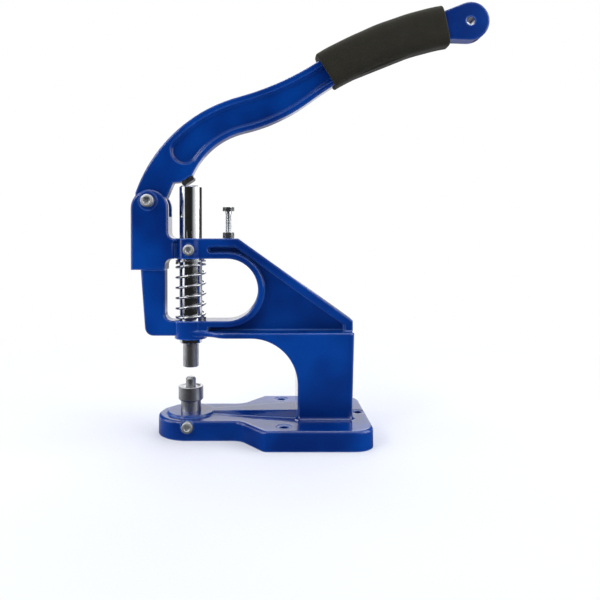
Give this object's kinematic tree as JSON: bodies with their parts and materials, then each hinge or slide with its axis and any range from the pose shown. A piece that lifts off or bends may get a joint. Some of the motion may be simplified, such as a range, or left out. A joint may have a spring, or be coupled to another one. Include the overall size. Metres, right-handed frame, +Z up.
{
  "type": "eyelet machine",
  "caption": "Hand-lever eyelet press: blue cast frame with a deep throat and wide foot, long curved lever with foam grip, sprung ram over a fixed setting die.",
  "frame": {"origin": "where the axis of the ram meets the surface that the base stands on", "axes": "+Z up, +X from the ram towards the column and the lever's handle, +Y away from the side the screw heads face, metres"},
  "size_m": [0.2824, 0.099, 0.3409],
  "materials": {
    "frame_paint": "gloss",
    "lever_paint": "gloss",
    "hardened_steel": "satin",
    "foam": "matte",
    "ground_steel": "polished",
    "spring_steel": "gloss",
    "zinc_steel": "gloss",
    "die_steel": "satin"
  },
  "bodies": {
    "frame": {"frame_casting": "frame_paint", "lower_die": "die_steel", "die_screw": "zinc_steel", "guide_screw": "zinc_steel", "stop_lock_nut": "zinc_steel", "pivot_bolt": "zinc_steel", "pivot_washer": "zinc_steel", "pivot_nut": "zinc_steel", "return_spring": "spring_steel"},
    "ram": {"ram": "ground_steel", "retaining_ring": "spring_steel", "spring_washer": "zinc_steel", "upper_die": "die_steel"},
    "lever": {"lever_casting": "lever_paint", "lever_wear_pad": "hardened_steel", "pad_rivets": "hardened_steel", "handle_grip": "foam"},
    "stop_bolt": {"stop_bolt": "zinc_steel"}
  },
  "joints": [
    {"name": "lever_swing", "type": "hinge", "parent": "frame", "child": "lever", "pos_m": [-0.032, 0, 0.1836], "axis": [0, 1, 0], "range_deg": [0, 28.7], "stiffness_Nm_per_rad": 2.56, "springref_deg": -30.19},
    {"name": "ram_slide", "type": "slide", "parent": "frame", "child": "ram", "axis": [0, 0, -1], "range_m": [0, 0.015], "stiffness_N_per_m": 10, "springref_m": -0.27, "deforming": ["return_spring"]},
    {"name": "stop_bolt_adjust", "type": "slide", "parent": "frame", "child": "stop_bolt", "axis": [0, 0, 1], "range_m": [-0.002, 0.004]}
  ],
  "couplings": [
    {"joint": "ram_slide", "follows": "lever_swing", "m_per_rad": 0.02994}
  ]
}
